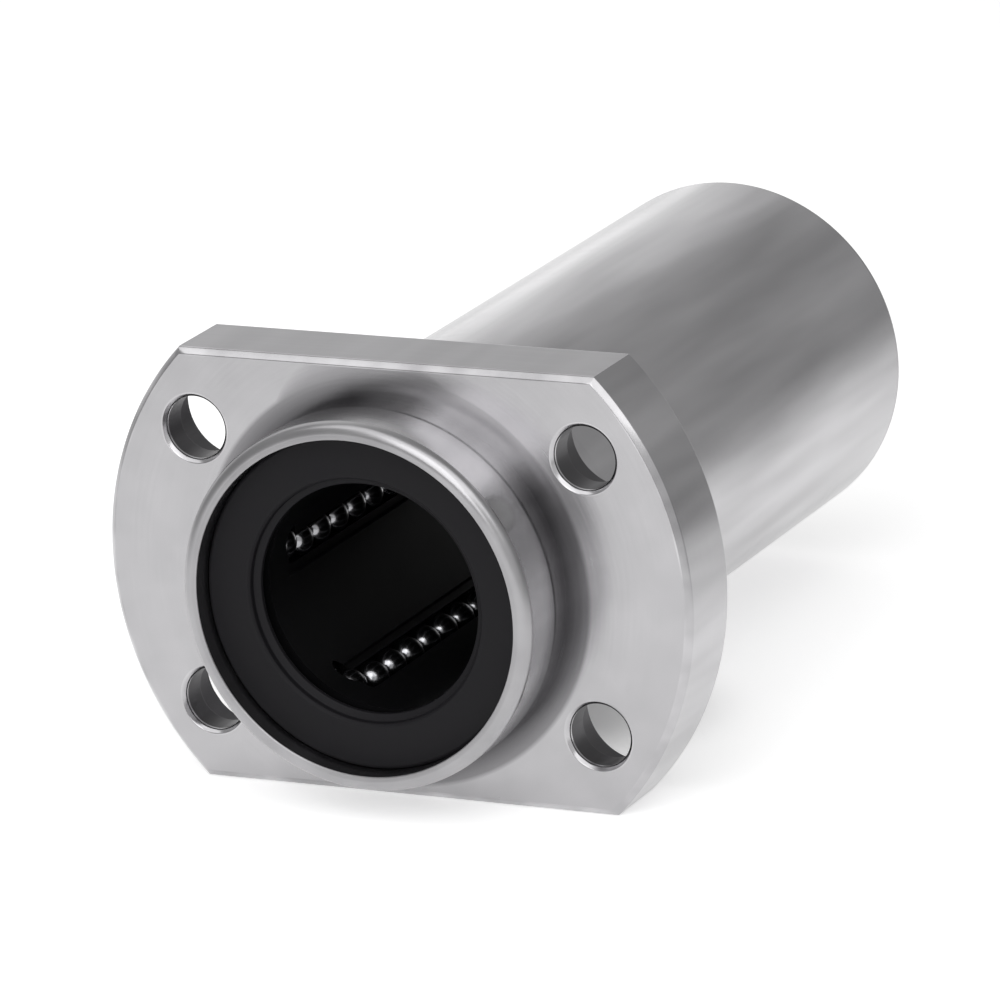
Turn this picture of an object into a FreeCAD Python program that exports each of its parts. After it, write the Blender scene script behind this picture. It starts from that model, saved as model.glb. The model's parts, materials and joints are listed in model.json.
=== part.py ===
import FreeCAD, Part
import math
import os

from FreeCAD import Vector

# A double-length linear ball bushing with a pilot nose and a flange cut flat on two sides.
# The bore axis is Y, the nose points to -Y, and Y = 0 is the flange face that the nose stands on.
# The flats face up and down. Sizes are in millimetres and angles in degrees.

# Shaft and outer sleeve
shaft_diameter = 20.0
wall_behind_rows = 2.97
total_length = 80.0
pilot_length = 8.0
end_radius = 1.0
least_end_face = 0.2
grinding_relief_width = 2.1
grinding_relief_depth = 0.25
grinding_relief_runout = 0.8

# Flange and its screw holes
flange_thickness = 8.0
flange_chamfer = 0.5
flat_margin = 3.0
hole_diameter = 5.5
hole_chamfer = 0.3
hole_angle = 33.69
counterbore_diameter = 9.5
counterbore_depth = 5.1
counterbore_body_wall = 0.883
counterbore_rim_wall = 0.617

# Ball circuits
ball_diameter = 3.0
circuit_count = 5
first_row_angle = 172.4
turn_ball_gap = 0.03
raceway_clearance = 0.03
return_clearance = 0.2
land_side_clearance = 0.2

# Retainers
retainer_shaft_clearance = 0.25
retainer_sleeve_clearance = 0.1
retainer_end_wall = 1.0
retainer_gap = 0.05
ball_channel_clearance = 0.1
row_window_depth = 0.45
row_window_side = 0.4

# Seals and snap rings
seal_recess = 2.0
seal_thickness = 2.0
seal_seat_step = 0.6
seal_fit = 0.02
seal_edge_chamfer = 0.25
lip_reach = 0.6
lip_width = 0.4
lip_front = 1.0
snap_ring_thickness = 0.9
snap_ring_side_clearance = 0.05
snap_ring_groove_step = 0.4
snap_ring_groove_clearance = 0.05
snap_ring_overlap = 0.7
snap_ring_gap_angle = 24.0

# Worked out from the sizes above
shaft_radius = shaft_diameter / 2
ball_radius = ball_diameter / 2
nose_end = -pilot_length
tail_end = total_length - pilot_length

# Two balls share each half-circle turn, a quarter turn apart, so the turn is two ball pitches long.
BALLS_PER_TURN = 2
turn_step = 180.0 / BALLS_PER_TURN
turn_radius = (ball_diameter + turn_ball_gap) / (2 * math.sin(math.radians(turn_step / 2)))
ball_pitch = math.radians(turn_step) * turn_radius
lane_spacing = 2 * turn_radius
loaded_radius = shaft_radius + ball_radius
return_radius = math.hypot(loaded_radius, lane_spacing)
channel_radius = ball_radius + ball_channel_clearance

# The sleeve is relieved all round, apart from the raised lands that the loaded rows run on.
relief_radius = return_radius + ball_radius + return_clearance
land_radius = loaded_radius + ball_radius + raceway_clearance
land_half_width = channel_radius - land_side_clearance
body_radius = land_radius + wall_behind_rows

# The flange has room for a counterbored hole between the body and its round rim.
hole_circle_radius = body_radius + counterbore_body_wall + counterbore_diameter / 2
flange_radius = hole_circle_radius + counterbore_diameter / 2 + counterbore_rim_wall
flange_half_width = body_radius + flat_margin
hole_x = hole_circle_radius * math.cos(math.radians(hole_angle))
hole_z = hole_circle_radius * math.sin(math.radians(hole_angle))

# From each end inwards: seal, snap ring, retainer.
seat_radius = relief_radius + seal_seat_step
groove_radius = seat_radius + snap_ring_groove_step
groove_start = seal_recess + seal_thickness
groove_width = snap_ring_thickness + 2 * snap_ring_side_clearance
retainer_start = groove_start + groove_width
retainer_length = (total_length - 2 * retainer_start - retainer_gap) / 2
retainer_inner_radius = shaft_radius + retainer_shaft_clearance
retainer_outer_radius = relief_radius - retainer_sleeve_clearance
seal_opening_radius = shaft_radius + lip_reach
row_window_half_width = channel_radius + row_window_side

# The round on each end leaves a flat ring beside the seal seat.
end_rounding = min(end_radius, body_radius - seat_radius - least_end_face)

# As many balls in a straight row as the retainer has room for.
turn_depth = turn_radius + channel_radius + retainer_end_wall
balls_per_row = int((retainer_length - 2 * turn_depth) / ball_pitch)
row_length = balls_per_row * ball_pitch

AXIS = Vector(0, 1, 0)
ORIGIN = Vector(0, 0, 0)
BEYOND = 1.0
FLAT_TOLERANCE = 1e-6


def polygon_face(points):
    """A flat face from corner points."""
    return Part.Face(Part.makePolygon(points + points[:1]))


def turned(profile, angle=360.0):
    """A solid turned about the bore axis from (radius, y) corners."""
    face = polygon_face([Vector(radius, y, 0) for radius, y in profile])
    return face.revolve(ORIGIN, AXIS, angle)


def tube(inner, outer, start, length):
    """A plain ring along the bore axis."""
    wall = Part.makeCylinder(outer, length, Vector(0, start, 0), AXIS)
    return wall.cut(Part.makeCylinder(inner, length, Vector(0, start, 0), AXIS))


def at_row(shape, row):
    """Turns a shape made above the bore, at +Z, to the angle of a ball row."""
    placed = shape.copy()
    angle = first_row_angle + row * 360.0 / circuit_count
    placed.rotate(ORIGIN, AXIS, 90.0 - angle)
    return placed


def from_tail(shape):
    """The same piece at the tail end: turned end for end about the upright axis through mid-length."""
    placed = shape.copy()
    placed.rotate(Vector(0, (nose_end + tail_end) / 2, 0), Vector(0, 0, 1), 180.0)
    return placed


def rows_start(retainer_front):
    """Where the straight rows of a retainer begin, so that the circuits stand centred in its length."""
    return retainer_front + (retainer_length - row_length) / 2


retainer_fronts = {
    "front": nose_end + retainer_start,
    "rear": nose_end + retainer_start + retainer_length + retainer_gap,
}


# Outer sleeve

def flange_plate():
    """The flange: a disc cut flat above and below, with every edge chamfered."""
    disc = Part.makeCylinder(flange_radius, flange_thickness, ORIGIN, AXIS)
    corner = Vector(-flange_radius, 0, -flange_half_width)
    slab = Part.makeBox(2 * flange_radius, flange_thickness, 2 * flange_half_width, corner)
    plate = disc.common(slab)
    rim = [edge for edge in plate.Edges if edge.BoundBox.YLength < FLAT_TOLERANCE]
    return plate.makeChamfer(flange_chamfer, rim)


def screw_hole(x, z):
    """A clearance hole chamfered at the nose side and counterbored from the body side."""
    radius = hole_diameter / 2
    hole = Part.makeCylinder(radius, flange_thickness + 2 * BEYOND, Vector(x, -BEYOND, z), AXIS)
    mouth = Part.makeCone(radius + hole_chamfer, radius, hole_chamfer, Vector(x, 0, z), AXIS)
    seat = flange_thickness - counterbore_depth
    head = Part.makeCylinder(counterbore_diameter / 2, counterbore_depth, Vector(x, seat, z), AXIS)
    return hole.fuse([mouth, head])


def is_end_rim(edge):
    """True for the outer corner of an end face of the barrel."""
    box = edge.BoundBox
    at_end = box.YMax < nose_end + FLAT_TOLERANCE or box.YMin > tail_end - FLAT_TOLERANCE
    return at_end and box.XMax > seat_radius + FLAT_TOLERANCE


def barrel():
    """The turned cylinder with its rounded ends, grinding reliefs, seal seats and snap ring grooves."""
    relief = body_radius - grinding_relief_depth
    relief_front = -grinding_relief_width
    relief_back = flange_thickness + grinding_relief_width
    outside = [
        (body_radius, nose_end),
        (body_radius, relief_front - grinding_relief_runout),
        (relief, relief_front),
        (relief, relief_back),
        (body_radius, relief_back + grinding_relief_runout),
        (body_radius, tail_end),
    ]
    inside = []
    for end, inwards in ((tail_end, -1), (nose_end, 1)):
        steps = [
            (seat_radius, end),
            (seat_radius, end + inwards * groove_start),
            (groove_radius, end + inwards * groove_start),
            (groove_radius, end + inwards * (groove_start + groove_width)),
            (relief_radius, end + inwards * (groove_start + groove_width)),
        ]
        inside += steps if inwards < 0 else steps[::-1]
    blank = turned(outside + inside)
    return blank.makeFillet(end_rounding, [edge for edge in blank.Edges if is_end_rim(edge)])


def land(retainer_front):
    """A raised strip in the sleeve's bore that one loaded row runs on, made above the bore."""
    ring = tube(land_radius, relief_radius + BEYOND, rows_start(retainer_front), row_length)
    strip = Part.makeBox(
        2 * land_half_width,
        row_length,
        body_radius,
        Vector(-land_half_width, rows_start(retainer_front), 0),
    )
    return ring.common(strip)


def outer_sleeve():
    """Nose, flange and body in one piece."""
    holes = [screw_hole(x, z) for x in (-hole_x, hole_x) for z in (-hole_z, hole_z)]
    lands = [at_row(land(front), row) for front in retainer_fronts.values() for row in range(circuit_count)]
    core = Part.makeCylinder(body_radius - grinding_relief_depth, flange_thickness, ORIGIN, AXIS)
    collar = flange_plate().cut(core)
    return barrel().fuse([collar] + lands).cut(holes).removeSplitter()


# Ball retainers

def channel_section(y):
    """The cross-section of a ball track at the loaded row: round below, with straight sides outwards."""
    side = channel_radius
    top = body_radius
    left = Vector(-side, y, loaded_radius)
    right = Vector(side, y, loaded_radius)
    bottom = Vector(0, y, loaded_radius - channel_radius)
    floor = Part.Arc(left, bottom, right).toShape()
    walls = Part.makePolygon([right, Vector(side, y, top), Vector(-side, y, top), left])
    return Part.Face(Part.Wire([floor] + walls.Edges))


def ball_channel(start):
    """The closed track of one circuit, made above the bore: two straight lanes and two half-circles."""
    finish = start + row_length
    loaded_lane = channel_section(start).extrude(Vector(0, row_length, 0))
    return_lane = loaded_lane.translated(Vector(lane_spacing, 0, 0))
    nose_bend = channel_section(start).revolve(Vector(turn_radius, start, 0), Vector(0, 0, 1), 180.0)
    tail_bend = channel_section(finish).revolve(Vector(turn_radius, finish, 0), Vector(0, 0, -1), 180.0)
    return loaded_lane.fuse([return_lane, nose_bend, tail_bend])


def row_window(start):
    """The trough in the retainer's bore that lets a loaded row stand proud, made above the bore."""
    radius = retainer_inner_radius + row_window_depth
    reach = turn_radius
    length = row_length + 2 * reach
    foot = Vector(-row_window_half_width, start - reach, 0)
    strip = Part.makeBox(2 * row_window_half_width, length, body_radius, foot)
    return strip.common(Part.makeCylinder(radius, length, Vector(0, start - reach, 0), AXIS))


def retainer(front):
    """One moulded retainer with its ball circuits."""
    wall = tube(retainer_inner_radius, retainer_outer_radius, front, retainer_length)
    start = rows_start(front)
    cuts = [ball_channel(start), row_window(start)]
    return wall.cut([at_row(cut, row) for cut in cuts for row in range(circuit_count)])


# Balls

def ball(x, y):
    """A ball at a place in the plane of its circuit, made above the bore."""
    return Part.makeSphere(ball_radius, Vector(x, y, loaded_radius))


def straight_row(start, lane):
    """The balls of a straight row, the first half a pitch inside its end."""
    return Part.makeCompound([ball(lane, start + (i + 0.5) * ball_pitch) for i in range(balls_per_row)])


def turn_group(end, outwards):
    """The balls of one half-circle turn."""
    balls = []
    for i in range(BALLS_PER_TURN):
        angle = math.radians((i + 0.5) * turn_step)
        x = turn_radius * (1 - math.cos(angle))
        y = end + outwards * turn_radius * math.sin(angle)
        balls.append(ball(x, y))
    return Part.makeCompound(balls)


# Seals and snap rings

def seal():
    """A rubber ring with a wiping lip, for the nose end."""
    face = nose_end + seal_recess
    outer = seat_radius - seal_fit
    return turned([
        (outer - seal_edge_chamfer, face),
        (seal_opening_radius + seal_edge_chamfer, face),
        (seal_opening_radius, face + seal_edge_chamfer),
        (seal_opening_radius, face + lip_front - seal_edge_chamfer),
        (shaft_radius, face + lip_front),
        (shaft_radius, face + lip_front + lip_width),
        (seal_opening_radius, face + seal_thickness),
        (outer, face + seal_thickness),
        (outer, face + seal_edge_chamfer),
    ])


def snap_ring():
    """A split flat-wire ring for the groove at the nose end, open at the bottom."""
    start = nose_end + groove_start + snap_ring_side_clearance
    inner = retainer_outer_radius - snap_ring_overlap
    outer = groove_radius - snap_ring_groove_clearance
    finish = start + snap_ring_thickness
    section = [(inner, start), (outer, start), (outer, finish), (inner, finish)]
    ring = turned(section, 360.0 - snap_ring_gap_angle)
    ring.rotate(ORIGIN, AXIS, 90.0 + snap_ring_gap_angle / 2)
    return ring


# All the pieces by name
pieces = {
    "outer_sleeve": outer_sleeve(),
    "front_seal": seal(),
    "rear_seal": from_tail(seal()),
    "front_snap_ring": snap_ring(),
    "rear_snap_ring": from_tail(snap_ring()),
}
for place, front in retainer_fronts.items():
    pieces[place + "_retainer"] = retainer(front)
    start = rows_start(front)
    finish = start + row_length
    groups = {
        "loaded_row": straight_row(start, 0),
        "return_row": straight_row(start, lane_spacing),
        "nose_turn": turn_group(start, -1),
        "tail_turn": turn_group(finish, 1),
    }
    for group, shape in groups.items():
        for row in range(circuit_count):
            pieces[f"{place}_{group}_{row + 1}"] = at_row(shape, row)

os.makedirs("parts", exist_ok=True)
for name, shape in pieces.items():
    shape.exportStep(f"parts/{name}.step")

print("body", 2 * body_radius, "flange", 2 * flange_radius, "by", 2 * flange_half_width)
print("screw holes", 2 * hole_x, "by", 2 * hole_z)
print("ball pitch", ball_pitch, "turn radius", turn_radius, "balls per row", balls_per_row)
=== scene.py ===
import json
import math

import bmesh
import bpy
from mathutils import Matrix, Vector


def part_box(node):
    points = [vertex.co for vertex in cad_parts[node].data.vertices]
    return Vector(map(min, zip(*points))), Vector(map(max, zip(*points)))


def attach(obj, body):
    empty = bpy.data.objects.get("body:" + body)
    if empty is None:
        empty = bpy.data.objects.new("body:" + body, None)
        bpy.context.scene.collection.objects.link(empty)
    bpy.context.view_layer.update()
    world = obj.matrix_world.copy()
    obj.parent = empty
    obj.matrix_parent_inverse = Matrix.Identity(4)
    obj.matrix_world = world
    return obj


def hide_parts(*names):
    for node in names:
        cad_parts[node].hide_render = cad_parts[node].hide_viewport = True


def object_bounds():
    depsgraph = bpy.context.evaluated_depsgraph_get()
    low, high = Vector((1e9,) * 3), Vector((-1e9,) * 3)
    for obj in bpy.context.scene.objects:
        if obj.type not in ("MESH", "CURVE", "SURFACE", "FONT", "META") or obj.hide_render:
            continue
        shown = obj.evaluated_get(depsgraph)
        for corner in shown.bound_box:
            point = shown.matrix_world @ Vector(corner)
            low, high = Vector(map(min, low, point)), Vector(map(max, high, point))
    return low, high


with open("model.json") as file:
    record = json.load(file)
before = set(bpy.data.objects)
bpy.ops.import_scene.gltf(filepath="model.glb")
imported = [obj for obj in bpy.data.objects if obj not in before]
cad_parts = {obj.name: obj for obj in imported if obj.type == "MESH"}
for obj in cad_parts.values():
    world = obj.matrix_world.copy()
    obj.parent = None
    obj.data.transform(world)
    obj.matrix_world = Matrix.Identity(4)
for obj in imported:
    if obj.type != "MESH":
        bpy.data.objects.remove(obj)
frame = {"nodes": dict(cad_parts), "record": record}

cad_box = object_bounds()


# Outer sleeve
# Nose, flange and body are one bar of bearing steel. It is turned, milled flat above and below,
# drilled and counterbored for four screws, hardened, and ground to size on the outside.

# Sizes of the pieces are in millimetres. The flange's front face is at y = 0.
MM = 0.001
HOUSING = "housing"
mounts = {mount["name"]: mount["dims"] for mount in frame["record"]["mounts"]}


def box_mm(node):
    """Lowest and highest corner of a node, in millimetres."""
    return [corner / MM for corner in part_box(node)]


sleeve_low, sleeve_high = box_mm("outer_sleeve")
nose_end, tail_end = sleeve_low.y, sleeve_high.y
flange_radius, flange_half_width = sleeve_high.x, sleeve_high.z
body_radius = mounts["pilot"]["r_mm"]
flange_thickness = 8.0
flange_chamfer = 0.5
end_radius = 1.0
relief_width = 2.1
relief_depth = 0.25
relief_runout = 0.8
relief_radius = body_radius - relief_depth
edge_radius = 0.12

hole_x = mounts["flange_screws"]["spacing_x_mm"] / 2
hole_z = mounts["flange_screws"]["spacing_y_mm"] / 2
hole_radius = mounts["flange_screws"]["hole_r_mm"]
hole_chamfer = 0.3
counterbore_radius = 4.75
counterbore_depth = 5.1

seal_clearance = 0.02
ring_clearance = 0.05
retainer_clearance = 0.1
seat_radius = box_mm("front_seal")[1].x + seal_clearance
groove_radius = box_mm("front_snap_ring")[1].x + ring_clearance
bore_radius = box_mm("front_retainer")[1].x + retainer_clearance
groove_start = 4.0
groove_width = 1.0

# Five lands stand in from the bore and carry the loaded rows of each retainer.
ball_radius = 1.5
balls_in_row = 7
circuit_count = 5
first_row_angle = math.radians(172.4)
shaft_radius = mounts["shaft_bore"]["r_mm"]
loaded_radius = shaft_radius + ball_radius
row_low, row_high = box_mm("front_loaded_row_1")
ball_pitch = (row_high.y - row_low.y - 2 * ball_radius) / (balls_in_row - 1)
row_length = balls_in_row * ball_pitch
rows_start = row_low.y + ball_radius - ball_pitch / 2
retainer_step = box_mm("rear_loaded_row_1")[0].y - row_low.y
land_clearance = 0.03
land_half_width = 1.4
land_radius = loaded_radius + ball_radius + land_clearance
land_half_angle = math.asin(land_half_width / land_radius)
land_side = math.radians(0.4)
sector = math.tau / circuit_count

CORNER_STEPS = 4
CORNER_SHARE = 0.4


def rounded(corners, radius):
    """A profile of (offset, y) corners, with every corner but the two ends rounded."""
    points = [corners[0]]
    for before, corner, after in zip(corners, corners[1:], corners[2:]):
        corner = Vector(corner)
        back, on = Vector(before) - corner, Vector(after) - corner
        reach = min(radius, back.length * CORNER_SHARE, on.length * CORNER_SHARE)
        start = corner + back.normalized() * reach
        end = corner + on.normalized() * reach
        for i in range(CORNER_STEPS + 1):
            t = i / CORNER_STEPS
            points.append(tuple(start * (1 - t) ** 2 + corner * (2 * t * (1 - t)) + end * t ** 2))
    return points + [corners[-1]]


def even_angles(start, end, steps):
    """Angles from the start up to, but not with, the end."""
    return [start + (end - start) * i / steps for i in range(steps)]


# The loops of the barrel have a point at each side of each land.
LAND_STEPS = 8
GAP_STEPS = 38
BODY_ANGLES = []
for row in range(circuit_count):
    middle = first_row_angle + row * sector
    inner, outer = land_half_angle, land_half_angle + land_side
    gap_start, gap_end = middle + outer, middle + sector - outer
    BODY_ANGLES += even_angles(middle - inner, middle + inner, LAND_STEPS) + [middle + inner]
    BODY_ANGLES += even_angles(gap_start, gap_end, GAP_STEPS) + [gap_end]
HOLE_STEPS = 72
HOLE_ANGLES = even_angles(0.0, math.tau, HOLE_STEPS)


def circle(radius, y, angles=BODY_ANGLES, x=0.0, z=0.0):
    """Points round an axis that runs along Y."""
    return [(x + radius * math.cos(turn), y, z + radius * math.sin(turn)) for turn in angles]


ANGLE_SLACK = 1e-6


def land_loop(y):
    """A loop in the bore that stands in at the lands and lies back between them."""
    points = []
    for turn in BODY_ANGLES:
        from_row = (turn - first_row_angle + sector / 2) % sector - sector / 2
        radius = land_radius if abs(from_row) < land_half_angle + ANGLE_SLACK else bore_radius
        points.append((radius * math.cos(turn), y, radius * math.sin(turn)))
    return points


END_STEPS = 12


def end_profile(end, inwards, flange_side):
    """The barrel from the flange round its end and into the bore, as (radius, y) points."""
    relief_end = flange_side - inwards * relief_width
    outside = [
        (relief_radius, flange_side),
        (relief_radius, relief_end),
        (body_radius, relief_end - inwards * relief_runout),
        (body_radius, end + inwards * end_radius),
    ]
    edge = []
    for turn in even_angles(0.0, math.pi / 2, END_STEPS)[1:]:
        in_from_end = end_radius * (1 - math.sin(turn))
        edge.append((body_radius - end_radius * (1 - math.cos(turn)), end + inwards * in_from_end))
    inside = [
        (body_radius - end_radius, end),
        (seat_radius, end),
        (seat_radius, end + inwards * groove_start),
        (groove_radius, end + inwards * groove_start),
        (groove_radius, end + inwards * (groove_start + groove_width)),
        (bore_radius, end + inwards * (groove_start + groove_width)),
    ]
    return rounded(outside, edge_radius) + edge + rounded(inside, edge_radius)


ARC_STEPS = 72
FLAT_STEPS = 48


def flange_edge(inset, y):
    """Points round the flange: two arcs joined by two flats, all moved in by the inset."""
    radius, height = flange_radius - inset, flange_half_width - inset
    corner = math.asin(height / radius)
    half_flat = radius * math.cos(corner)
    points = []
    for side in (1, -1):
        for i in range(ARC_STEPS + 1):
            turn = corner * (2 * i / ARC_STEPS - 1)
            points.append((side * radius * math.cos(turn), y, side * radius * math.sin(turn)))
        for i in range(1, FLAT_STEPS):
            points.append((side * half_flat * (1 - 2 * i / FLAT_STEPS), y, side * height))
    return points


def skin(mesh, loops, finish):
    """Bands of faces from each closed loop of points to the next; gives the two end loops."""
    rings = [[mesh.verts.new(Vector(point) * MM) for point in loop] for loop in loops]
    for ring, following in zip(rings, rings[1:]):
        for i in range(len(ring)):
            face = mesh.faces.new((ring[i - 1], ring[i], following[i], following[i - 1]))
            face.material_index = finish
            face.smooth = True
    return rings[0], rings[-1]


def flat_face(mesh, rings, finish):
    """A flat face inside the first ring, with the other rings as holes in it."""
    edges = [mesh.edges.get((ring[i - 1], ring[i])) for ring in rings for i in range(len(ring))]
    made = bmesh.ops.triangle_fill(mesh, use_beauty=True, use_dissolve=False, edges=edges)
    for face in made["geom"]:
        if isinstance(face, bmesh.types.BMFace):
            face.material_index = finish
            face.smooth = True
    for edge in edges:
        edge.smooth = False


SAME_PLACE = 1e-8
SHARP = math.radians(30)


def finished(name, mesh, materials):
    """A new object from a closed mesh, with flat faces shaded flat beside rounded edges."""
    bmesh.ops.remove_doubles(mesh, verts=mesh.verts, dist=SAME_PLACE)
    bmesh.ops.recalc_face_normals(mesh, faces=mesh.faces)
    for edge in mesh.edges:
        if edge.calc_face_angle(0.0) > SHARP:
            edge.smooth = False
    data = bpy.data.meshes.new(name)
    mesh.to_mesh(data)
    mesh.free()
    for material in materials:
        data.materials.append(material)
    piece = bpy.data.objects.new(name, data)
    bpy.context.scene.collection.objects.link(piece)
    even = piece.modifiers.new("even_normals", "WEIGHTED_NORMAL")
    even.keep_sharp = True
    return piece


def linear(colour):
    """An sRGB hex colour as linear red, green, blue and alpha."""
    parts = [int(colour[i:i + 2], 16) / 255 for i in (1, 3, 5)]
    return [p / 12.92 if p <= 0.04045 else ((p + 0.055) / 1.055) ** 2.4 for p in parts] + [1.0]


def add(tree, kind, inputs=(), **settings):
    """A new node with its settings, and its inputs linked or set."""
    node = tree.nodes.new(kind)
    for name, value in settings.items():
        setattr(node, name, value)
    for name, value in dict(inputs).items():
        if isinstance(value, bpy.types.NodeSocket):
            tree.links.new(value, node.inputs[name])
        else:
            node.inputs[name].default_value = value
    return node


def new_material(name):
    """An empty material with its output; gives the material, its tree and the surface socket."""
    material = bpy.data.materials.new(name)
    material.use_nodes = True
    material.node_tree.nodes.clear()
    output = material.node_tree.nodes.new("ShaderNodeOutputMaterial")
    return material, material.node_tree, output.inputs["Surface"]


# Each pair is the metal between the long streaks and in them; the streaks are partly wiped oil and partly
# painted reflection.
STEEL = ("#a5a4a6", "#c5c4c6")
EVEN_STEEL = ("#b0afb1", "#b6b5b7")
DULL_STEEL = ("#a09fa1", "#abaaac")
SCALE = ("#535254", "#636264")

# A tool mark runs on round the axis for an angle in radians, or straight for a length.
MARK_TURN = 0.5
MARK_RUN = 8.0
MARK_DETAIL = 3.0
MARK_DEPTH = 0.05
MARK_STRENGTH = 0.06
ROUGHNESS_SPREAD = 0.05
STREAK_SIZE = (4.0, 33.0, 4.0)
STREAK_DETAIL = 2.0
STREAK_EDGES = (0.3, 0.7)

# The dark ring on the flange, round the roots of nose and body, is scale with painted shade in the corner.
# It goes from its inner colour to its outer one.
# Along one stretch a painted highlight lets the steel show through the ring, where the front lamp's
# reflection falls; along another, above the nose, the ring reaches further out. A stretch is the angle of
# its middle, how far from there it is full, and how far it reaches, in degrees.
ROOT_SCALE_AND_SHADE = ("#565557", "#89888a")
root_width = 1.9
root_ring = body_radius + root_width
root_fade = 0.2
HIGHLIGHT_STRETCH = (66.0, 10.0, 34.0)
HIGHLIGHT_SHARE = 0.62
WIDE_STRETCH = (98.0, 6.0, 26.0)
wide_fade = 2.4


def along_stretch(tree, way, stretch, most):
    """A value that is the most in the middle of a stretch of a ring, and nothing past its reach."""
    middle, full, reach = [math.radians(angle) for angle in stretch]
    towards = (math.cos(middle), 0.0, math.sin(middle))
    nearness = add(tree, "ShaderNodeVectorMath", {0: way, 1: towards}, operation="DOT_PRODUCT")
    fade = add(
        tree, "ShaderNodeMapRange",
        {
            "Value": nearness.outputs["Value"],
            "From Min": math.cos(reach),
            "From Max": math.cos(full),
            "To Max": most,
        },
    )
    return fade.outputs[0]


def root_scale_and_shade(tree, outwards, radius, steel):
    """The colour of a flange face with a dark ring at its root: scale that no wheel reaches, with painted
    shade in the corner and a painted highlight along one stretch.
    """
    thinner = add(
        tree, "ShaderNodeMapRange",
        {"Value": radius, "From Min": body_radius * MM, "From Max": root_ring * MM},
    ).outputs[0]
    # Scale with painted shade, darkest in the corner at the root.
    first, second = [linear(colour) for colour in ROOT_SCALE_AND_SHADE]
    scale_and_shade = add(tree, "ShaderNodeMix", {"Factor": thinner, "A": first, "B": second}, data_type="RGBA")
    way = add(tree, "ShaderNodeVectorMath", {0: outwards}, operation="NORMALIZE").outputs[0]
    wider = along_stretch(tree, way, WIDE_STRETCH, wide_fade * MM)
    ring_outside = add(tree, "ShaderNodeMath", {0: wider, 1: (root_ring + root_fade) * MM}).outputs[0]
    clean = add(
        tree, "ShaderNodeMapRange",
        {"Value": radius, "From Min": (root_ring - root_fade) * MM, "From Max": ring_outside},
    ).outputs[0]
    # Painted highlight: along one stretch the steel shows through the ring, where the front lamp's
    # reflection falls.
    painted_highlight = along_stretch(tree, way, HIGHLIGHT_STRETCH, HIGHLIGHT_SHARE)
    bare_or_highlit = add(tree, "ShaderNodeMath", {0: clean, 1: painted_highlight}, operation="MAXIMUM").outputs[0]
    colour = add(
        tree, "ShaderNodeMix",
        {"Factor": bare_or_highlit, "A": scale_and_shade.outputs["Result"], "B": steel},
        data_type="RGBA",
    )
    return colour.outputs["Result"]


def bearing_steel(name, marks, mark_width, roughness, colours, shine_spread=0.0, scaled_and_shaded_root=False):
    """Bearing steel with the lines that its last tool left: round the body, round a face, or straight.
    The eye sees a soft grey mirror with faint lines and a few long cloudy streaks, partly wiped oil and
    partly painted reflection.
    The real lines are some hundredths of a millimetre wide; they are drawn wider so that they show.
    Round marks on a face spread its shine outwards from the middle, by the shine spread."""
    material, tree, surface = new_material(name)
    place = add(tree, "ShaderNodeTexCoord").outputs["Object"]
    axes = add(tree, "ShaderNodeSeparateXYZ", {"Vector": place}).outputs
    angle = add(tree, "ShaderNodeMath", {0: axes["Z"], 1: axes["X"]}, operation="ARCTAN2").outputs[0]
    outwards = add(tree, "ShaderNodeCombineXYZ", {"X": axes["X"], "Z": axes["Z"]}).outputs[0]
    radius = add(tree, "ShaderNodeVectorMath", {0: outwards}, operation="LENGTH").outputs["Value"]
    across, along, mark_length = {
        "round body": (axes["Y"], angle, MARK_TURN),
        "round face": (radius, angle, MARK_TURN),
        "straight": (axes["Y"], axes["X"], MARK_RUN * MM),
    }[marks]
    over = add(tree, "ShaderNodeMath", {0: across, 1: mark_width * MM}, operation="DIVIDE").outputs[0]
    onward = add(tree, "ShaderNodeMath", {0: along, 1: mark_length}, operation="DIVIDE").outputs[0]
    line_place = add(tree, "ShaderNodeCombineXYZ", {"X": over, "Y": onward}).outputs[0]
    lines = add(
        tree, "ShaderNodeTexNoise", {"Vector": line_place, "Scale": 1.0, "Detail": MARK_DETAIL}
    ).outputs["Fac"]
    # Long cloudy streaks along the axis: partly wiped oil, partly painted reflection.
    streak = [1 / (size * MM) for size in STREAK_SIZE]
    streak_place = add(tree, "ShaderNodeMapping", {"Vector": place, "Scale": streak}).outputs[0]
    clouds = add(
        tree, "ShaderNodeTexNoise", {"Vector": streak_place, "Scale": 1.0, "Detail": STREAK_DETAIL}
    ).outputs["Fac"]
    streaks = add(
        tree, "ShaderNodeMapRange",
        {"Value": clouds, "From Min": STREAK_EDGES[0], "From Max": STREAK_EDGES[1]},
    ).outputs[0]
    first, second = [linear(colour) for colour in colours]
    steel = add(tree, "ShaderNodeMix", {"Factor": streaks, "A": first, "B": second}, data_type="RGBA")
    colour = steel.outputs["Result"]
    if scaled_and_shaded_root:
        colour = root_scale_and_shade(tree, outwards, radius, colour)
    rough = add(
        tree, "ShaderNodeMapRange",
        {"Value": lines, "To Min": roughness - ROUGHNESS_SPREAD, "To Max": roughness + ROUGHNESS_SPREAD},
    ).outputs[0]
    bump = add(
        tree, "ShaderNodeBump", {"Height": lines, "Strength": MARK_STRENGTH, "Distance": MARK_DEPTH * MM}
    ).outputs[0]
    shader = add(
        tree, "ShaderNodeBsdfPrincipled",
        {
            "Base Color": colour,
            "Metallic": 1.0,
            "Roughness": rough,
            "Anisotropic": shine_spread,
            "Tangent": outwards,
            "Normal": bump,
        },
    )
    tree.links.new(shader.outputs[0], surface)
    return material


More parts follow.
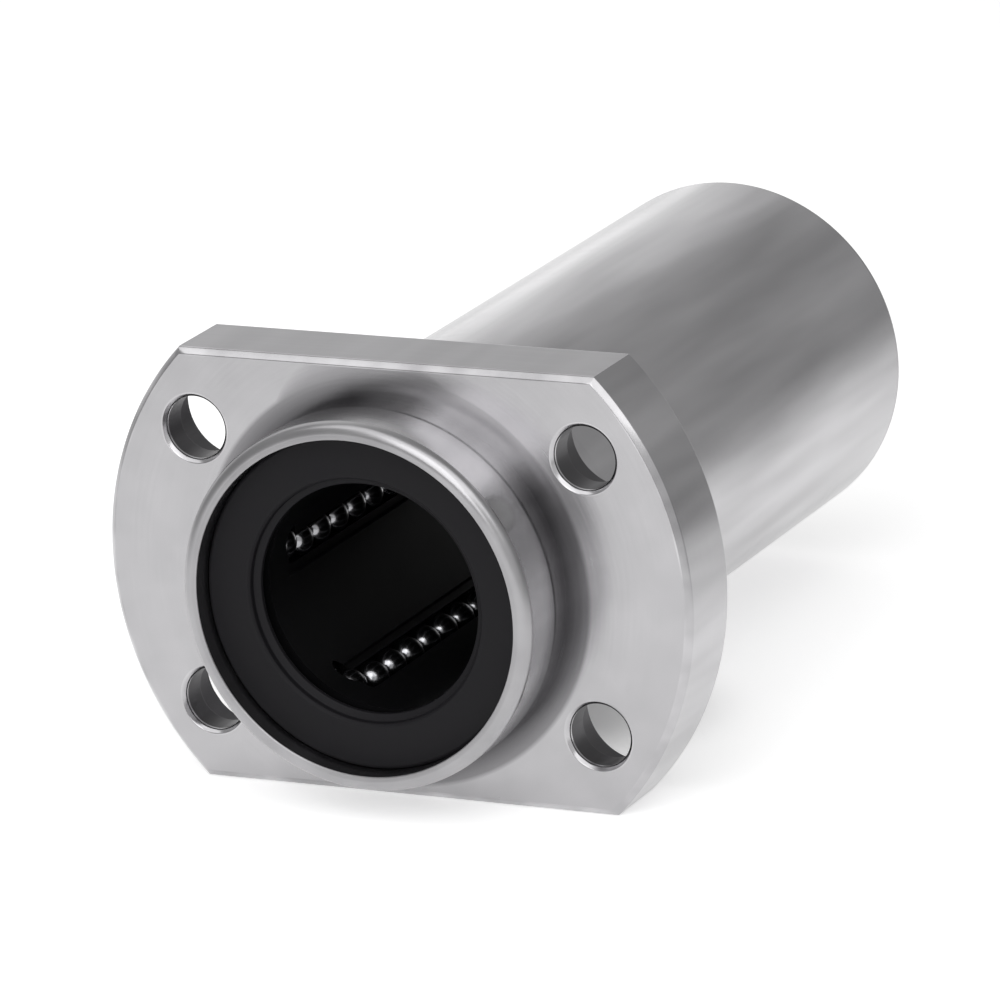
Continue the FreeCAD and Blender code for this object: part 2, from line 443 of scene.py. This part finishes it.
# The outside is ground, the ends are turned with rounded edges, the flange is faced and milled flat above
# and below, and the holes keep their scale.
steel_finishes = [
    bearing_steel("ground_bearing_steel", "round body", mark_width=0.25, roughness=0.21, colours=STEEL),
    bearing_steel(
        "turned_bearing_steel", "round face",
        mark_width=0.3, roughness=0.42, colours=DULL_STEEL, shine_spread=0.8,
    ),
    bearing_steel("rounded_bearing_steel", "round face", mark_width=0.3, roughness=0.3, colours=DULL_STEEL),
    bearing_steel(
        "faced_bearing_steel", "round face",
        mark_width=0.3, roughness=0.25, colours=EVEN_STEEL, scaled_and_shaded_root=True,
    ),
    bearing_steel("milled_bearing_steel", "straight", mark_width=0.4, roughness=0.42, colours=DULL_STEEL),
    bearing_steel("unground_scaled_steel", "round face", mark_width=0.3, roughness=0.42, colours=SCALE),
]
GROUND, TURNED, ROUNDED, FACED, MILLED, SCALED = range(len(steel_finishes))

front_profile = end_profile(nose_end, 1, 0.0)
rear_profile = end_profile(tail_end, -1, flange_thickness)
loops = [circle(radius, y) for radius, y in front_profile]
for start in (rows_start, rows_start + retainer_step):
    loops += [circle(bore_radius, start), land_loop(start)]
    loops += [land_loop(start + row_length), circle(bore_radius, start + row_length)]
loops += [circle(radius, y) for radius, y in reversed(rear_profile)]
sleeve_mesh = bmesh.new()
front_root, rear_root = skin(sleeve_mesh, loops, GROUND)
for face in sleeve_mesh.faces:
    middle = face.calc_center_median() / MM
    reach = math.hypot(middle.x, middle.z)
    from_end = min(middle.y - nose_end, tail_end - middle.y)
    if from_end < end_radius and reach > seat_radius:
        face.material_index = TURNED if reach < body_radius - end_radius else ROUNDED
rim = rounded([
    (flange_chamfer + edge_radius, 0.0),
    (flange_chamfer, 0.0),
    (0.0, flange_chamfer),
    (0.0, flange_thickness - flange_chamfer),
    (flange_chamfer, flange_thickness),
    (flange_chamfer + edge_radius, flange_thickness),
], edge_radius)
front_edge, rear_edge = skin(sleeve_mesh, [flange_edge(inset, y) for inset, y in rim], GROUND)
hole_mouth = rounded([
    (hole_radius + hole_chamfer + edge_radius, 0.0),
    (hole_radius + hole_chamfer, 0.0),
    (hole_radius, hole_chamfer),
    (hole_radius, 2 * hole_chamfer),
], edge_radius)
hole = rounded([
    (hole_radius, 2 * hole_chamfer),
    (hole_radius, flange_thickness - counterbore_depth),
    (counterbore_radius, flange_thickness - counterbore_depth),
    (counterbore_radius, flange_thickness),
    (counterbore_radius + edge_radius, flange_thickness),
], edge_radius)
hole_fronts, hole_rears = [], []
for x in (-hole_x, hole_x):
    for z in (-hole_z, hole_z):
        front, _ = skin(sleeve_mesh, [circle(r, y, HOLE_ANGLES, x, z) for r, y in hole_mouth], GROUND)
        _, rear = skin(sleeve_mesh, [circle(r, y, HOLE_ANGLES, x, z) for r, y in hole], SCALED)
        hole_fronts.append(front)
        hole_rears.append(rear)
flat_face(sleeve_mesh, [front_edge, front_root] + hole_fronts, FACED)
flat_face(sleeve_mesh, [rear_edge, rear_root] + hole_rears, FACED)
UPRIGHT = 0.999
flat_slack = 0.01
for face in sleeve_mesh.faces:
    face.normal_update()
    height = abs(face.calc_center_median().z) / MM
    if abs(face.normal.z) > UPRIGHT and height > flange_half_width - flat_slack:
        face.material_index = MILLED
sleeve = finished("steel_sleeve", sleeve_mesh, steel_finishes)
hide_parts("outer_sleeve")
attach(sleeve, HOUSING)


# End seals
# A moulded nitrile rubber ring with a wiping lip sits in each end of the sleeve, a little inside its mouth,
# and keeps dust off the balls.

RUBBER = ("#121113", "#17161a")
GRAIN_DETAIL = 2.0
seal_face = 2.0
seal_thickness = 2.0
seal_radius = box_mm("front_seal")[1].x
lip_reach = 0.6
lip_front = 1.0
lip_width = 0.4
lip_root = shaft_radius + lip_reach
seal_edge = 0.25
seal_corner = 0.1
SEAL_STEPS = 180
SEAL_ANGLES = even_angles(0.0, math.tau, SEAL_STEPS)


def patchy_material(name, colours, patch_size, detail, roughness, shine, grain=None):
    """A material whose colour and roughness drift in soft patches, with a fine grain where it has one.
    The grain is its size in millimetres, its strength, and its depth in millimetres."""
    material, tree, surface = new_material(name)
    place = add(tree, "ShaderNodeTexCoord").outputs["Object"]
    patch_scale = 1 / (patch_size * MM)
    patches = add(
        tree, "ShaderNodeTexNoise", {"Vector": place, "Scale": patch_scale, "Detail": detail}
    ).outputs["Fac"]
    first, second = [linear(colour) for colour in colours]
    colour = add(tree, "ShaderNodeMix", {"Factor": patches, "A": first, "B": second}, data_type="RGBA")
    rough = add(
        tree, "ShaderNodeMapRange", {"Value": patches, "To Min": roughness[0], "To Max": roughness[1]}
    )
    finish = {"Base Color": colour.outputs["Result"], "Roughness": rough.outputs[0], **shine}
    if grain:
        size, strength, depth = grain
        grit = add(
            tree, "ShaderNodeTexNoise",
            {"Vector": place, "Scale": 1 / (size * MM), "Detail": GRAIN_DETAIL},
        )
        bump = add(
            tree, "ShaderNodeBump",
            {"Height": grit.outputs["Fac"], "Strength": strength, "Distance": depth * MM},
        )
        finish["Normal"] = bump.outputs[0]
    shader = add(tree, "ShaderNodeBsdfPrincipled", finish)
    tree.links.new(shader.outputs[0], surface)
    return material


# Nitrile rubber is matt and near black, with a faint grey bloom in patches.
# The mould's grain is finer than a tenth of a millimetre; it is drawn coarser so that it shows.
rubber = patchy_material(
    "moulded_nitrile_rubber",
    colours=RUBBER,
    patch_size=6.0,
    detail=4.0,
    roughness=(0.5, 0.7),
    shine={"Specular IOR Level": 0.2},
    grain=(0.25, 0.15, 0.03),
)

# The section starts and ends in the middle of the face, so that all its corners are rounded.
face_middle = ((seal_radius + shaft_radius) / 2, seal_face)
seal_section = rounded([
    face_middle,
    (lip_root + seal_edge, seal_face),
    (lip_root, seal_face + seal_edge),
    (lip_root, seal_face + lip_front - seal_edge),
    (shaft_radius, seal_face + lip_front),
    (shaft_radius, seal_face + lip_front + lip_width),
    (lip_root, seal_face + seal_thickness),
    (seal_radius, seal_face + seal_thickness),
    (seal_radius, seal_face + seal_edge),
    (seal_radius - seal_edge, seal_face),
    face_middle,
], seal_corner)
for side, end, inwards in (("front", nose_end, 1), ("rear", tail_end, -1)):
    seal_mesh = bmesh.new()
    skin(seal_mesh, [circle(r, end + inwards * y, SEAL_ANGLES) for r, y in seal_section], 0)
    seal = finished("rubber_" + side + "_seal", seal_mesh, [rubber])
    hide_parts(side + "_seal")
    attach(seal, HOUSING)


# Snap rings
# A split ring of flat spring wire in a groove behind each seal holds the retainers in the sleeve.
# The wire is rolled and oiled, so it is dark with a dull, uneven shine.

SPRING = ("#47464b", "#5c5b60")
nodes = frame["nodes"]
spring_steel = patchy_material(
    "oiled_spring_steel",
    colours=SPRING,
    patch_size=1.5,
    detail=3.0,
    roughness=(0.3, 0.5),
    shine={"Metallic": 1.0},
)
for name in ("front_snap_ring", "rear_snap_ring"):
    nodes[name].data.materials[0] = spring_steel


# Retainers
# Two cages moulded in black acetal stand end to end in the sleeve and guide the ball circuits.
# The moulded surface is deep black and slightly silky. Its fine grain is drawn coarser so that it shows.

RESIN = ("#0a0a0b", "#0e0e10")
resin = patchy_material(
    "moulded_black_acetal",
    colours=RESIN,
    patch_size=4.0,
    detail=3.0,
    roughness=(0.35, 0.5),
    shine={"Specular IOR Level": 0.2},
    grain=(0.2, 0.1, 0.02),
)
for name in ("front_retainer", "rear_retainer"):
    nodes[name].data.materials[0] = resin


# Balls
# Hardened chrome steel balls run in closed circuits: down a loaded row against the shaft, round a turn,
# back along a return row and round the other turn. They are lapped to a mirror, with a thin film of oil.

BALL = ("#98989b", "#a6a6a9")
BALL_SEGMENTS = 40
BALL_RINGS = 20
RETAINERS = ("front", "rear")
balls_in_turn = 2
turn_radius = balls_in_turn * ball_pitch / math.pi
# The two balls of a turn stand 45 degrees to each side of its middle.
turn_reach = turn_radius * math.sin(math.pi / 4)

ball_steel = patchy_material(
    "lapped_chrome_steel",
    colours=BALL,
    patch_size=0.8,
    detail=2.0,
    roughness=(0.16, 0.22),
    shine={"Metallic": 1.0},
)

ball_tree = bpy.data.node_groups.new("ball_rows", "GeometryNodeTree")
for name, kind in (
    ("Ball Radius", "NodeSocketFloat"),
    ("First Ball", "NodeSocketVector"),
    ("Step", "NodeSocketVector"),
    ("Count", "NodeSocketInt"),
    ("Row Angle", "NodeSocketFloat"),
    ("Circuits", "NodeSocketInt"),
    ("Retainers", "NodeSocketInt"),
    ("Retainer Step", "NodeSocketVector"),
    ("Material", "NodeSocketMaterial"),
):
    ball_tree.interface.new_socket(name, in_out="INPUT", socket_type=kind)
ball_tree.interface.new_socket("Geometry", in_out="OUTPUT", socket_type="NodeSocketGeometry")
sizes = add(ball_tree, "NodeGroupInput").outputs
one_row = add(
    ball_tree, "GeometryNodeMeshLine",
    {"Count": sizes["Count"], "Start Location": sizes["First Ball"], "Offset": sizes["Step"]},
)
retainer_points = add(
    ball_tree, "GeometryNodeMeshLine", {"Count": sizes["Retainers"], "Offset": sizes["Retainer Step"]}
)
row_copies = add(
    ball_tree, "GeometryNodeInstanceOnPoints",
    {"Points": retainer_points.outputs["Mesh"], "Instance": one_row.outputs["Mesh"]},
)
rows_in_line = add(ball_tree, "GeometryNodeRealizeInstances", {"Geometry": row_copies.outputs["Instances"]})
circuit_points = add(
    ball_tree, "GeometryNodeMeshLine", {"Count": sizes["Circuits"], "Offset": (0.0, 0.0, 0.0)}
)
circuit_number = add(ball_tree, "GeometryNodeInputIndex")
circuit_angle = add(
    ball_tree, "ShaderNodeMath",
    {0: circuit_number.outputs[0], 1: -sector, 2: sizes["Row Angle"]},
    operation="MULTIPLY_ADD",
)
facing = add(ball_tree, "ShaderNodeCombineXYZ", {"Y": circuit_angle.outputs[0]})
circuit_copies = add(
    ball_tree, "GeometryNodeInstanceOnPoints",
    {
        "Points": circuit_points.outputs["Mesh"],
        "Instance": rows_in_line.outputs["Geometry"],
        "Rotation": facing.outputs[0],
    },
)
places = add(ball_tree, "GeometryNodeRealizeInstances", {"Geometry": circuit_copies.outputs["Instances"]})
sphere = add(
    ball_tree, "GeometryNodeMeshUVSphere",
    {"Segments": BALL_SEGMENTS, "Rings": BALL_RINGS, "Radius": sizes["Ball Radius"]},
)
balls = add(
    ball_tree, "GeometryNodeInstanceOnPoints",
    {"Points": places.outputs["Geometry"], "Instance": sphere.outputs["Mesh"]},
)
solid = add(ball_tree, "GeometryNodeRealizeInstances", {"Geometry": balls.outputs["Instances"]})
smooth = add(ball_tree, "GeometryNodeSetShadeSmooth", {"Geometry": solid.outputs["Geometry"]})
painted = add(
    ball_tree, "GeometryNodeSetMaterial",
    {"Geometry": smooth.outputs["Geometry"], "Material": sizes["Material"]},
)
add(ball_tree, "NodeGroupOutput", {"Geometry": painted.outputs["Geometry"]})


def ball_group(body, replaced, **values):
    """The balls of one body, made by the tree and kept as a plain mesh."""
    name = "steel_" + body
    piece = bpy.data.objects.new(name, bpy.data.meshes.new(name))
    bpy.context.scene.collection.objects.link(piece)
    modifier = piece.modifiers.new("balls", "NODES")
    modifier.node_group = ball_tree
    values.update(ball_radius=ball_radius * MM, material=ball_steel)
    for item in ball_tree.interface.items_tree:
        if item.in_out == "INPUT":
            modifier[item.identifier] = values[item.name.lower().replace(" ", "_")]
    plain = bpy.data.meshes.new_from_object(piece.evaluated_get(bpy.context.evaluated_depsgraph_get()))
    piece.modifiers.remove(modifier)
    piece.data = plain
    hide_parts(*replaced)
    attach(piece, body)


def row_angle(row):
    """How far a row made above the bore is turned about the bore axis."""
    return math.pi / 2 - first_row_angle - row * sector


lanes = {"loaded": 0.0, "return": 2 * turn_radius}
for kind, lane in lanes.items():
    ball_group(
        kind + "_balls",
        [f"{retainer}_{kind}_row_{row + 1}" for retainer in RETAINERS for row in range(circuit_count)],
        first_ball=Vector((lane, rows_start + ball_pitch / 2, loaded_radius)) * MM,
        step=Vector((0.0, ball_pitch, 0.0)) * MM,
        count=balls_in_row,
        row_angle=row_angle(0),
        circuits=circuit_count,
        retainers=len(RETAINERS),
        retainer_step=Vector((0.0, retainer_step, 0.0)) * MM,
    )
turn_ends = {"nose": rows_start - turn_reach, "tail": rows_start + row_length + turn_reach}
for index, retainer in enumerate(RETAINERS):
    for end_name, y in turn_ends.items():
        first_ball = Vector((turn_radius - turn_reach, y + index * retainer_step, loaded_radius))
        for row in range(circuit_count):
            body = f"{retainer}_{end_name}_turn_{row + 1}"
            ball_group(
                body,
                [body],
                first_ball=first_ball * MM,
                step=Vector((2 * turn_reach, 0.0, 0.0)) * MM,
                count=balls_in_turn,
                row_angle=row_angle(row),
                circuits=1,
                retainers=1,
                retainer_step=Vector((0.0, 0.0, 0.0)),
            )


# Camera
# The photograph's long lens, in front of the part, to the right and a little above.
# Its place, turn and focal length were fitted to edges of the part.

camera_place = Vector((279.5, -545.1, 191.8))
right = Vector((0.9026, 0.4266, -0.0573))
down = Vector((0.0743, -0.2856, -0.9555))
into = Vector((-0.4240, 0.8581, -0.2895))
camera_data = bpy.data.cameras.new("camera")
camera_data.sensor_width = 36.0
camera_data.lens = 276.9
camera_data.clip_start = 0.01
camera = bpy.data.objects.new("camera", camera_data)
aim = Matrix((right, -down, -into)).transposed().to_4x4()
camera.matrix_world = Matrix.Translation(camera_place * MM) @ aim
bpy.context.scene.collection.objects.link(camera)
bpy.context.scene.camera = camera
bpy.context.scene.view_settings.view_transform = "Standard"


# Floor and light
# A plain sheet of white paper under the flange, a grey room round it and three soft boxes.
# The paper glows a little, so that it shows white while the lamps stay low. Sizes here are in metres.

PAPER = "#e7e7e7"
PAPER_GLOW = 0.51
FLOOR_SIDE = 8.0
FLOOR_GAP = 0.00002
# The white is a painted pool of light that is long along the line of sight. It fades to its rim between two
# edges, which are shares of its size.
POOL_MIDDLE = (-0.03, 0.0, 0.0)
POOL_SIZE = (0.14, 2.0, FLOOR_SIDE)
POOL_EDGES = (0.3, 2.0)
POOL_RIM = 0.45
# Under the body, just behind the flange, the paper's glow fades in a painted shadow: little light reaches it
# there.
SHADE_MIDDLE = (0.004, 0.024, 0.0)
SHADE_SIZE = (0.012, 0.012, 1.0)
SHADE_EDGES = (0.3, 1.4)
SHADE_LEAST = 0.2

floor_mesh = bmesh.new()
bmesh.ops.create_grid(floor_mesh, x_segments=1, y_segments=1, size=FLOOR_SIDE / 2)
bmesh.ops.translate(floor_mesh, verts=floor_mesh.verts, vec=(0.0, 0.0, cad_box[0].z - FLOOR_GAP))
floor_data = bpy.data.meshes.new("floor")
floor_mesh.to_mesh(floor_data)
floor_mesh.free()
floor = bpy.data.objects.new("floor", floor_data)
bpy.context.scene.collection.objects.link(floor)

paper, tree, surface = new_material("white_paper")
place = add(tree, "ShaderNodeTexCoord").outputs["Object"]
pool_place = add(
    tree, "ShaderNodeMapping",
    {
        "Vector": place,
        "Location": POOL_MIDDLE,
        "Rotation": (0.0, 0.0, math.atan2(-into.x, into.y)),
        "Scale": POOL_SIZE,
    },
    vector_type="TEXTURE",
)
from_pool = add(tree, "ShaderNodeVectorMath", {0: pool_place.outputs[0]}, operation="LENGTH")
pool = add(
    tree, "ShaderNodeMapRange",
    {
        "Value": from_pool.outputs["Value"],
        "From Min": POOL_EDGES[0],
        "From Max": POOL_EDGES[1],
        "To Min": 1.0,
        "To Max": POOL_RIM,
    },
    interpolation_type="SMOOTHSTEP",
)
shade_place = add(
    tree, "ShaderNodeMapping",
    {"Vector": place, "Location": SHADE_MIDDLE, "Scale": SHADE_SIZE},
    vector_type="TEXTURE",
)
from_shade = add(tree, "ShaderNodeVectorMath", {0: shade_place.outputs[0]}, operation="LENGTH")
# Painted shadow: the glow is lowered under the body.
in_open = add(
    tree, "ShaderNodeMapRange",
    {
        "Value": from_shade.outputs["Value"],
        "From Min": SHADE_EDGES[0],
        "From Max": SHADE_EDGES[1],
        "To Min": SHADE_LEAST,
    },
    interpolation_type="SMOOTHSTEP",
)
# The paper's colour and glow follow the painted pool of light.
tone = add(
    tree, "ShaderNodeMix",
    {"Factor": pool.outputs[0], "A": linear("#000000"), "B": linear(PAPER)},
    data_type="RGBA",
)
lit = add(tree, "ShaderNodeBsdfDiffuse", {"Color": tone.outputs["Result"]})
full_glow = add(tree, "ShaderNodeMath", {0: pool.outputs[0], 1: PAPER_GLOW}, operation="MULTIPLY")
strength = add(
    tree, "ShaderNodeMath", {0: full_glow.outputs[0], 1: in_open.outputs[0]}, operation="MULTIPLY"
)
glow = add(tree, "ShaderNodeEmission", {"Strength": strength.outputs[0]})
white = add(tree, "ShaderNodeAddShader", {0: lit.outputs[0], 1: glow.outputs[0]})
# The glow shows to the eye and in metal, and lights nothing.
ray = add(tree, "ShaderNodeLightPath").outputs
either = add(
    tree, "ShaderNodeMath", {0: ray["Is Camera Ray"], 1: ray["Is Glossy Ray"]}, operation="MAXIMUM"
)
shows = add(
    tree, "ShaderNodeMath", {0: either.outputs[0], 1: ray["Is Transmission Ray"]}, operation="MAXIMUM"
)
shown = add(
    tree, "ShaderNodeMixShader", {0: shows.outputs[0], 1: lit.outputs[0], 2: white.outputs[0]}
)
tree.links.new(shown.outputs[0], surface)
floor_data.materials.append(paper)

# The room has a pale wall in front at the right, and a paler corner behind at the left, brightest low down.
# A pair of edges is where a light starts and where it is full, along an axis of the direction it comes from.
ROOM_COLOUR = "#ffffff"
ROOM_LIGHT = 0.42
PALE_WALL = (0.84, -0.5, 0.2)
WALL_LIGHT = 0.33
WALL_EDGES = (0.75, 0.95)
CORNER_LIGHT = 0.57
LEFT_EDGES = (0.0, -0.5)
BEHIND_EDGES = (0.1, 0.4)
LOW_EDGES = (0.2, 0.0)
LOW_GAIN = 1.9

world = bpy.data.worlds.new("grey_room")
bpy.context.scene.world = world
world.use_nodes = True
tree = world.node_tree
direction = add(tree, "ShaderNodeTexCoord").outputs["Generated"]
axes = add(tree, "ShaderNodeSeparateXYZ", {"Vector": direction}).outputs
to_wall = add(tree, "ShaderNodeVectorMath", {0: direction, 1: PALE_WALL}, operation="DOT_PRODUCT")
wall = add(
    tree, "ShaderNodeMapRange",
    {
        "Value": to_wall.outputs["Value"],
        "From Min": WALL_EDGES[0],
        "From Max": WALL_EDGES[1],
        "To Min": ROOM_LIGHT,
        "To Max": ROOM_LIGHT + WALL_LIGHT,
    },
)
left = add(
    tree, "ShaderNodeMapRange",
    {"Value": axes["X"], "From Min": LEFT_EDGES[0], "From Max": LEFT_EDGES[1], "To Max": CORNER_LIGHT},
)
behind = add(
    tree, "ShaderNodeMapRange",
    {"Value": axes["Y"], "From Min": BEHIND_EDGES[0], "From Max": BEHIND_EDGES[1]},
)
low = add(
    tree, "ShaderNodeMapRange",
    {
        "Value": axes["Z"],
        "From Min": LOW_EDGES[0],
        "From Max": LOW_EDGES[1],
        "To Min": 1.0,
        "To Max": LOW_GAIN,
    },
)
corner = add(tree, "ShaderNodeMath", {0: left.outputs[0], 1: behind.outputs[0]}, operation="MULTIPLY")
low_corner = add(tree, "ShaderNodeMath", {0: corner.outputs[0], 1: low.outputs[0]}, operation="MULTIPLY")
level = add(tree, "ShaderNodeMath", {0: low_corner.outputs[0], 1: wall.outputs[0]}, operation="ADD")
background = tree.nodes["Background"].inputs
background["Color"].default_value = linear(ROOM_COLOUR)
tree.links.new(level.outputs[0], background["Strength"])

LAMP_DISTANCE = 0.8


def soft_box(name, direction, width, height, radiance):
    """A rectangular lamp of even brightness that faces the part."""
    lamp = bpy.data.lights.new(name, "AREA")
    lamp.shape = "RECTANGLE"
    lamp.size = width
    lamp.size_y = height
    lamp.energy = radiance * math.pi * width * height
    box = bpy.data.objects.new(name, lamp)
    towards = Vector(direction).normalized()
    box.location = towards * LAMP_DISTANCE
    box.rotation_euler = (-towards).to_track_quat("-Z", "Y").to_euler()
    box.visible_camera = False
    bpy.context.scene.collection.objects.link(box)


soft_box("front_box", (0.05, -0.85, 0.51), width=0.45, height=0.62, radiance=2.3)
soft_box("top_box", (-0.3, -0.35, 0.89), width=0.5, height=0.5, radiance=1.1)
soft_box("side_box", (0.43, -0.47, 0.77), width=0.62, height=0.62, radiance=1.35)
